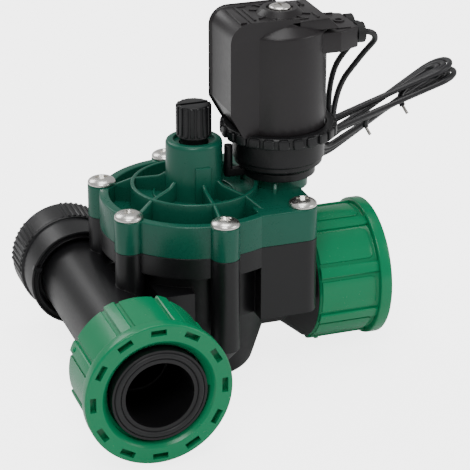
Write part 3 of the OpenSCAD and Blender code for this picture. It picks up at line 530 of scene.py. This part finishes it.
def add_bonnet():
    green = moulded("bonnet_nylon", (0.004, 0.110, 0.068), (0.002, 0.078, 0.048), rough=0.30, grain=0.012)
    dish_r, dish_z, floor_z, ring_z = 26.3, parting_z + 5, rim_z - 0.8, rim_z + 3.05
    control_r, pocket_r = 17.3, 6.4
    top_edge = 0.45
    arc = [Vector((math.cos(math.radians(a)), math.sin(math.radians(a)))) for a in range(-54, 55, 3)]
    sector = [tuple(27.4 * d) for d in arc] + [tuple((ring_r - 0.6) * d) for d in reversed(arc)]
    shells = [
        spin(rounded([(dish_r, dish_z - 2), (dish_r, rim_z, top_edge), (rim_r, rim_z, top_edge),
                      (rim_r, parting_z, 0.2), (dish_r, parting_z)]), 180, closed=True),
        spin([(control_r, dish_z), (dish_r + 0.5, dish_z), (dish_r + 0.5, dish_z - 2.5),
              (control_r, dish_z - 2.5)], 128, closed=True),
        spin(rounded([(ring_r - rib_t, floor_z - 1), (ring_r - rib_t, ring_z, 0.4), (ring_r, ring_z, 0.4),
                      (ring_r, dish_z, 1), (ring_r + 2, dish_z - 1), (control_r, dish_z - 1),
                      (control_r, floor_z - 1)]), 180, closed=True),
        spin([(pocket_r, floor_z), (ring_r - 0.5, floor_z), (ring_r - 0.5, floor_z - 2.5),
              (pocket_r, floor_z - 2.5)], 128, closed=True),
        spin(rounded([(12, floor_z - 0.5), (12, floor_z + 0.7, 0.3), (12.9, floor_z + 0.7, 0.3),
                      (12.9, floor_z - 0.5)], 3), 96, closed=True),
        prism(sector, dish_z - 1, rim_z - 0.06, 0.1),
        prism(lobe_outline(ring_r - 0.4), dish_z - 2.4, rim_z + 0.04, top_edge),
        prism(lobe_outline(27.1), parting_z + 0.03, dish_z - 2.4, 0, 0.2),
        spin(rounded([(pocket_r, floor_z - 1), (tower_r + 1.2, floor_z - 1), (tower_r, floor_z, 0.1),
                      (tower_r, tower_z, 1.3), (6.3, tower_z, 0.3), (6.3, tower_z - 1.2),
                      (4.6, tower_z - 1.2), (4.6, tower_z - 6.2), (4.1, tower_z - 6.2),
                      (4.1, rim_z + 2.8), (pocket_r, rim_z + 2.8)]), 96, closed=True),
        moved(prism(rounded([(-2.5, floor_z - 0.5), (2.5, floor_z - 0.5), (2.5, floor_z + 11.4, 0.4),
                             (-2.5, floor_z + 11.4, 0.4)]), 0, 4, 0.3), y=-tower_r + 3.3, tilt=90),
        moved(spin(rounded([(0, rim_z - 1), (9.2, rim_z - 1), (9.2, rim_z + 6, 0.3), (7.1, rim_z + 6),
                            (7.1, rim_z + 1), (0, rim_z + 1)]), 72), x=solenoid_x),
    ]
    for angle in (-150, -115, 115, 150):
        web = prism(rounded([(8.6, rim_z - 0.5), (12.2, rim_z - 0.5), (11.6, rim_z + 1.2, 0.5),
                             (9.2, rim_z + 4.6, 0.6), (8.6, rim_z + 4.6)]), -0.6, 0.6, 0.3, 0.3)
        shells.append(moved(web, x=solenoid_x, tilt=90, turn=angle))
    web = prism(rounded([(tower_r - 1, floor_z - 1), (ring_r - 1, floor_z - 1), (ring_r - 1, dish_z - 1),
                         (26.5, dish_z - 1), (26.5, rim_z - 0.02, 0.2), (25, rim_z + 0.2, 0.6),
                         (ring_r, ring_z - 0.35, 2), (11, ring_z + 1.1, 4),
                         (tower_r + 0.5, ring_z + 2.3, 0.5), (tower_r - 1, ring_z + 2.3)]),
                -rib_t / 2, rib_t / 2, 0.4, 0.4)
    web = moved(web, tilt=90)
    boss = moved(spin(rounded([(0, parting_z + 0.02), (boss_r, parting_z + 0.02, 0.2),
                               (boss_r, rim_z + 0.02, top_edge), (0, rim_z + 0.02)]), 48), x=screw_circle_r)
    parts = [loose_piece("cover", together(*shells), green),
             copied_round("webs", together(web, boss), green, 4, 90, 60),
             copied_round("lobe_webs", web, green, 2, -54, 108)]
    stands_for(set_down("bonnet_cover", parts, AT_AXIS), "bonnet")


add_bonnet()


# ---- bonnet screws ----
# Six nickel-plated pan heads with a cross recess clamp bonnet and diaphragm to the body.
def metal(name, colour, rough, streak=0.12):
    """Bright plated or turned metal with fine turning marks."""
    finish = Finish(name, Metallic=1.0)
    marks = finish.noise(420, detail=2)
    finish.feed("Base Color", finish.blend(marks, rgba(*colour), rgba(*(c * 0.82 for c in colour))))
    finish.feed("Roughness", marks * streak + rough)
    finish.relief(marks, 0.12, 0.01 * MM)
    return finish.material


nickel = metal("nickel_plate", (0.92, 0.90, 0.86), 0.20)


def carve(piece, cutter):
    """Cuts one loose piece out of another."""
    modifier = piece.modifiers.new("cut", "BOOLEAN")
    modifier.operation, modifier.object, modifier.solver = "DIFFERENCE", cutter, "EXACT"
    settled = piece.evaluated_get(bpy.context.evaluated_depsgraph_get())
    plain = bpy.data.meshes.new_from_object(settled)
    piece.modifiers.remove(modifier)
    piece.data = plain
    bpy.data.objects.remove(cutter)


def pan_head(name, radius, height, shank_r, shank_len):
    """A domed head on a short shank, with a tapered cross recess."""
    crown = height * 0.78
    dome = [(radius * math.cos(math.radians(a)), height - crown + crown * math.sin(math.radians(a)))
            for a in range(8, 90, 6)]
    head = loose_piece(name, spin([(0, -shank_len), (shank_r, -shank_len), (shank_r, 0), (radius - 0.35, 0),
                                   (radius, 0.3), *dome, (0, height)], 64), nickel)
    wing = [(-0.22 * radius, -1.2), (0.22 * radius, -1.2), (0.60 * radius, 0.6), (-0.60 * radius, 0.6)]
    blade_half_t = 0.15 * radius
    blade = prism(wing, -blade_half_t, blade_half_t, 0)
    for angle in (20, 110):
        carve(head, loose_piece("driver", moved(blade, z=height, tilt=90, turn=angle), nickel))
    carve(head, loose_piece("driver", spin([(0, height - 1.3), (0.32 * radius, height + 0.5),
                                            (0, height + 0.5)], 16), nickel))
    return head


def place_marks(places):
    """An object whose points, in millimetres, mark where screws go."""
    spots = bpy.data.meshes.new("screw_places")
    spots.from_pydata([tuple(c * MM for c in place) for place in places], [], [])
    holder = bpy.data.objects.new("screw_places", spots)
    bpy.context.collection.objects.link(holder)
    return holder


def add_bonnet_screws():
    circle = [(screw_circle_r * math.cos(math.radians(a)), screw_circle_r * math.sin(math.radians(a)),
               rim_z) for a in (90, 150, 210, 270)]
    places = circle + [(lobe_screw[0], side * lobe_screw[1], rim_z) for side in (-1, 1)]
    head = pan_head("screw_head", 4.4, 2.3, 2, 12)
    grower = Grower("screws_at_places", Spread=23.0)
    pick = grower.node("GeometryNodeObjectInfo", out=4, Object=head)
    index = grower.node("GeometryNodeInputIndex")
    turn = grower.node("ShaderNodeMath", {"operation": "MULTIPLY"}, i0=index, i1=grower.inputs["Spread"])
    around = grower.node("ShaderNodeCombineXYZ", Z=turn)
    grower.end(grower.node("GeometryNodeInstanceOnPoints", Points=grower.inputs["Geometry"],
                           Rotation=around, Instance=pick))
    holder = place_marks(places)
    grower.run(holder, Material=nickel)
    bpy.data.objects.remove(head)
    stands_for(set_down("cover_screws", [holder], AT_AXIS), "bonnet_screws")


add_bonnet_screws()


# ---- union nuts ----
# Two identical green nuts hold the valve in the pipe. Each has a flange with twelve pockets,
# a barrel with raised strips and panels, and a thread turned inside.
nut_green = moulded("nut_plastic", (0.001, 0.245, 0.098), (0.001, 0.205, 0.080), rough=0.26, grain=0.008,
                    scuffs=0.12)


def pad(radius, height, half, low, high, corner=0.8, edge=0.2, columns=10, both=False):
    """A raised strip on a cylinder round Z, half degrees to each side of X."""
    turns = [math.radians(a) for a in (0, 30, 60, 90)]
    start = [(low, corner + 0.1, -0.3)] + [(low + corner * (1 - math.cos(t)), corner * (1 - math.sin(t)),
                                           -edge * (1 - math.sin(t))) for t in turns]
    ending = [(low + high - z, inset, drop) for z, inset, drop in reversed(start)]
    points, rows = [], start + (ending if both else [(high - 0.2, 0, 0), (high, 0, -0.25)])
    for z, inset, drop in rows:
        reach = half - math.degrees(inset / radius)
        soft = math.degrees(edge / radius)
        ring_points = [(-reach, -0.6), (-reach, height - edge + drop)]
        ring_points += [(a, height + drop) for a in np.linspace(soft - reach, reach - soft, columns)]
        ring_points += [(reach, height - edge + drop), (reach, -0.6)]
        points += [((radius + h) * math.cos(math.radians(a)), (radius + h) * math.sin(math.radians(a)), z)
                   for a, h in ring_points]
    across = columns + 4
    faces = [tuple(range(across)), tuple(range(len(points) - across, len(points)))]
    for row in range(len(rows) - 1):
        faces += [(row * across + k, row * across + (k + 1) % across,
                   (row + 1) * across + (k + 1) % across, (row + 1) * across + k) for k in range(across)]
    return np.array(points), faces


def thread_grower():
    """A helical ridge round Z: Radius, Pitch, Turns and the ridge's Depth, all in metres."""
    grower = Grower("thread_ridge", Radius=0.01, Pitch=0.002, Turns=5.0, Depth=0.001)
    height = grower.node("ShaderNodeMath", {"operation": "MULTIPLY"}, i0=grower.inputs["Pitch"],
                         i1=grower.inputs["Turns"])
    helix = grower.node("GeometryNodeCurveSpiral", Resolution=48, Rotations=grower.inputs["Turns"],
                        Start_Radius=grower.inputs["Radius"], End_Radius=grower.inputs["Radius"],
                        Height=height)
    ridge = grower.node("GeometryNodeCurvePrimitiveCircle", Resolution=4, Radius=grower.inputs["Depth"])
    swept = grower.node("GeometryNodeCurveToMesh", Curve=helix, Profile_Curve=ridge, Fill_Caps=True)
    grower.end(swept)
    return grower


thread = thread_grower()


def add_union_nut(name, node, place):
    shell = spin(rounded([(17, 23.7, 0.2), (19.5, 23.7, 0.4), (20.1, 22.9, 0.3), (20.1, 3.9, 0.3),
                          (22, 3.9, 0.5), (22, 0, 0.6), (16.9, 0, 0.3), (15.5, 1.6, 0.2),
                          (15.5, 13.5), (17, 13.5)]), 192, closed=True)
    nut = loose_piece(name, shell, nut_green)
    pocket = copied_round("pockets", box((18.7, 20.5), (-2.3, 2.3), (-1, 2.3), 0), nut_green, 12)
    carve(nut, pocket)
    inner = loose_piece("nut_shoulder", spin(rounded([(14.6, 23.5, 0.4), (17.2, 23.5), (17.2, 20.5),
                                                      (14.6, 20.5, 0.4)]), 96, closed=True), nut_green)
    ridge = loose_piece("nut_thread", (np.zeros((1, 3)), []), nut_green)
    thread.run(ridge, Material=nut_green, Radius=15.6 * MM, Pitch=2.309 * MM, Turns=4.5, Depth=0.85 * MM)
    ridge.data.transform(Matrix.Translation((0, 0, 2 * MM)))
    panels = copied_round("panels", pad(20.1, 0.4, 14.5, 5.0, 23.0, 1.6, 0.15, 14), nut_green, 8)
    strips = copied_round("strips", pad(20.1, 0.9, 4.9, 3.7, 23.3, 0.3, 0.3, 6), nut_green, 8, 22.5)
    nib = loose_piece("nib", moved(spin(rounded([(0, 20), (0.8, 20), (0.8, 21.5, 0.4), (0, 21.5)]), 24),
                                   z=20.2, roll=90, turn=202.5), nut_green)
    stands_for(set_down(name, [nut, inner, ridge, panels, strips, nib], place), node)


outlet_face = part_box("outlet_nut")[1].x - axis_x * MM
inlet_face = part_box("inlet_nut")[0].y
tee_x = -31.8 * MM
AT_OUTLET = Matrix.Translation((outlet_face, 0, 0)) @ Matrix.Rotation(math.radians(-90), 4, "Y")
AT_INLET = Matrix.Translation((tee_x, inlet_face, 0)) @ Matrix.Rotation(math.radians(-90), 4, "X")
add_union_nut("outlet_union_nut", "outlet_nut", AT_OUTLET)
add_union_nut("inlet_union_nut", "inlet_nut", AT_INLET)


# ---- end cap ----
# The tee's spare end is closed by a moulded black nylon cap that screws on. It has groups of
# grip ridges with plain arcs between them, a stepped skirt and four small lugs inside.
cap_black = moulded("cap_nylon", (0.010, 0.010, 0.011), (0.006, 0.006, 0.007), rough=0.36)


def add_end_cap():
    cap_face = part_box("end_cap")[0].y
    place = Matrix.Translation((tee_x, cap_face, 0)) @ Matrix.Rotation(math.radians(-90), 4, "X")
    profile = rounded([(0, 20.6), (13.3, 20.6), (13.3, 0.4, 0.2), (14.1, 0, 0.15), (14.1, 1.0, 0.1),
                       (15.2, 1.0, 0.1), (15.2, 0, 0.15), (15.9, 0.2, 0.2), (15.9, 11, 0.2),
                       (16.55, 11.1, 0.3), (16.55, 23.4, 0.5), (15.2, 23.4, 0.2), (14.6, 22.8, 0.2),
                       (0, 22.8)])
    cup = loose_piece("cap_cup", spin(profile, 192), cap_black)
    ridge = pad(16.5, 0.5, 1.9, 11.4, 23.0, 0.5, 0.3, 3, both=True)
    group = copied_round("ridges", ridge, cap_black, 8, 0, 6)
    ring.run(group, Material=cap_black, Count=4, Start=0.0, Step=90.0)
    plain = copied_round("plain_arcs", pad(16.5, 0.25, 19.0, 11.6, 22.8, 1.2, 0.2, 16, both=True),
                         cap_black, 4, 66, 90)
    lug = box((13.4, 16.1), (-0.7, 0.7), (-0.2, 1.4), 0.2)
    lugs = copied_round("lugs", lug, cap_black, 4, 20)
    stands_for(set_down("screw_cap", [cup, group, plain, lugs], place), "end_cap")


add_end_cap()


# ---- flow control knob ----
# A black nylon knob with sixteen flutes and a screwdriver slot across its top. Its neck turns
# in the bonnet's tower.
def add_knob():
    low, high = (corner / MM for corner in map(Vector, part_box("flow_knob")))
    top, foot = high.z, high.z - 10.2
    body = loose_piece("knob", spin(rounded([(0, low.z), (4.3, low.z, 0.2), (4.3, foot), (5.3, foot, 0.2),
                                             (5.0, foot + 1.5, 0.8), (4.95, top, 0.4), (0, top)]), 96),
                       cap_black)
    carve(body, loose_piece("slot", box((-6, 6), (-0.7, 0.7), (top - 1.6, top + 1), 0), cap_black))
    flutes = copied_round("flutes", pad(4.75, 0.72, 7.6, foot + 0.4, top - 0.15, 0.5, 0.25, 5, both=True),
                          cap_black, 16)
    stands_for(set_down("knob_fluted", [body, flutes], AT_AXIS, 40), "flow_knob")


add_knob()


# ---- solenoid coil ----
# A dark grey housing moulded in resin round the winding. It is flat towards the knob and round
# towards the box where the leads come out. Its top carries raised frames and bars round the
# boss of the fixing screw.
coil_grey = moulded("coil_resin", (0.020, 0.0175, 0.019), (0.014, 0.012, 0.013), rough=0.36)


def add_coil():
    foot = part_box("coil_housing")[0].z / MM
    top, box_top = foot + 35.1, foot + 30.4
    side = rounded([(2, foot + 0.5), (2, top, 0.1), (-18.4, top, 5.2), (-18.4, foot + 7.5, 0.8),
                    (-14.5, foot + 0.5, 0.5)][::-1], 8)
    plate = rounded([(0, top - 3.6), (15.8, box_top + 1.0, 0.5), (12.2, top - 0.06, 0.6),
                     (0, top - 0.06)], 4)
    end = rounded([(-2, -10.4), (16, -10.4, 0.8), (23, -7.2, 0.8), (23, 7.2, 0.8), (16, 10.4, 0.8),
                   (-2, 10.4)])
    shells = [
        moved(prism(side, -10.4, 10.4, 0.8, 0.8), tilt=90),
        moved(prism(plate, -10.4, 10.4, 0.5, 0.5), tilt=90),
        spin(rounded([(13.1, foot + 1), (13.1, foot, 0.1), (14.5, foot, 0.3), (14.5, box_top + 0.6, 1.0),
                      (10.6, top - 1.6, 0.4), (10.3, top - 0.4), (3, top - 0.4), (3, foot + 1)]), 128,
             closed=True),
        prism(end, box_top - 6.6, box_top, 0.5, 0.5),
        spin(rounded([(3.0, top - 1), (7.4, top - 1), (7.2, top + 0.02, 0.4), (5.5, top + 1.7, 0.4),
                      (4.1, top + 1.7, 0.3), (4.0, top + 0.2), (3.0, top + 0.2)]), 72, closed=True),
    ]
    bars = [((-15, -13), (-7.5, 6.5)), ((-12, -11.2), (-8.8, 8.8)), ((-11.2, -8), (-8.8, -8)),
            ((-11.2, -8), (8, 8.8)), ((-10.2, -9.4), (-5.6, 5.6)), ((8.8, 9.6), (-8.8, -4)),
            ((8.8, 9.6), (4, 8.8)), ((-6, -1), (-9, -8.2)), ((1, 6), (-9, -8.2)), ((-6, -1), (8.2, 9)),
            ((1, 6), (8.2, 9))]
    shells += [box(x, y, (top - 0.5, top + 0.32), 0.12) for x, y in bars]
    shells += [moved(box((7.0, 9.4), (-0.35, 0.35), (top - 0.5, top + 0.4), 0.1), turn=a)
               for a in (30, 60, 120, 150, 210, 240, 300, 330)]
    shells += [box((15.8, 20.2), (y, y + 0.6), (box_top - 0.5, box_top + 0.35), 0.1) for y in (-7.8, 7.2)]
    shells += [box((15.6, 16.2), (-7.8, 7.8), (box_top - 0.5, box_top + 0.35), 0.1),
               moved(spin(rounded([(1.0, box_top - 0.3), (1.0, box_top + 0.4, 0.1),
                                   (1.9, box_top + 0.4, 0.1), (1.9, box_top - 0.3)], 2), 32, closed=True),
                     x=19.2)]
    housing = loose_piece("housing", moved(together(*shells), x=solenoid_x), coil_grey)
    stands_for(set_down("coil_case", [housing], AT_AXIS), "coil_housing")


add_coil()


# ---- ring nut ----
# The scalloped ring under the coil is moulded in black nylon. It draws the coil down on the
# base, and its lobes give the fingers a grip.
def add_ring_nut():
    low, high = (corner / MM for corner in map(Vector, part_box("solenoid_ring_nut")))
    body = loose_piece("ring_body", moved(spin(rounded(
        [(14.9, high.z, 0.1), (16.9, high.z, 0.2), (17.3, high.z - 0.5, 0.3), (17.3, low.z, 0.4),
         (12.3, low.z, 0.3), (12.3, low.z + 2), (14.9, low.z + 2.3)]), 144, closed=True)), cap_black)
    lobes = copied_round("lobes", pad(17.2, 1.0, 5.6, low.z + 0.15, high.z - 0.1, 0.7, 0.35, 6, both=True),
                         cap_black, 24)
    place = Matrix.Translation((solenoid_x * MM, 0, 0))
    stands_for(set_down("scalloped_ring", [body, lobes], place), "solenoid_ring_nut")


add_ring_nut()


# ---- carried-over parts ----
# Whatever is already the right shape keeps its own mesh and gets its finish here. The two
# springs get meshes of their own.
body_black = moulded("body_nylon", (0.0100, 0.0095, 0.0110), (0.006, 0.006, 0.0065), rough=0.36, edge=0.4)
dress(body_black, "valve_body", "flow_stem", "bleed_lever", "solenoid_base")
dress(nickel, "top_screw", "top_washer")
steel = metal("stainless", (0.56, 0.57, 0.58), 0.25)
dress(steel, "diaphragm_bolt", "diaphragm_spring", "knob_circlip", "armature_tube", "fixed_core",
      "plunger", "plunger_spring", "yoke_frame")
copper = metal("copper_wire", (0.72, 0.30, 0.14), 0.3)
dress(copper, "coil_winding")
dress(metal("tinned_wire", (0.50, 0.48, 0.45), 0.3), "lead_tips")
rubber = moulded("seal_rubber", (0.016, 0.016, 0.017), (0.010, 0.010, 0.011), rough=0.5)
dress(rubber, "diaphragm", "seat_seal", "stem_o_ring", "base_o_ring", "plunger_seal", "wire_grommets",
      "inlet_seal_ring", "outlet_seal_ring", "end_cap_gasket")
acetal = moulded("natural_acetal", (0.72, 0.70, 0.64), (0.64, 0.62, 0.55), rough=0.4)
dress(acetal, "diaphragm_support", "coil_bobbin", "inlet_split_ring", "outlet_split_ring")
for spring, joint, travel in (("diaphragm_spring", "diaphragm_lift", 3.5),
                              ("plunger_spring", "plunger_lift", 1.8)):
    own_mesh(frame["nodes"][spring])
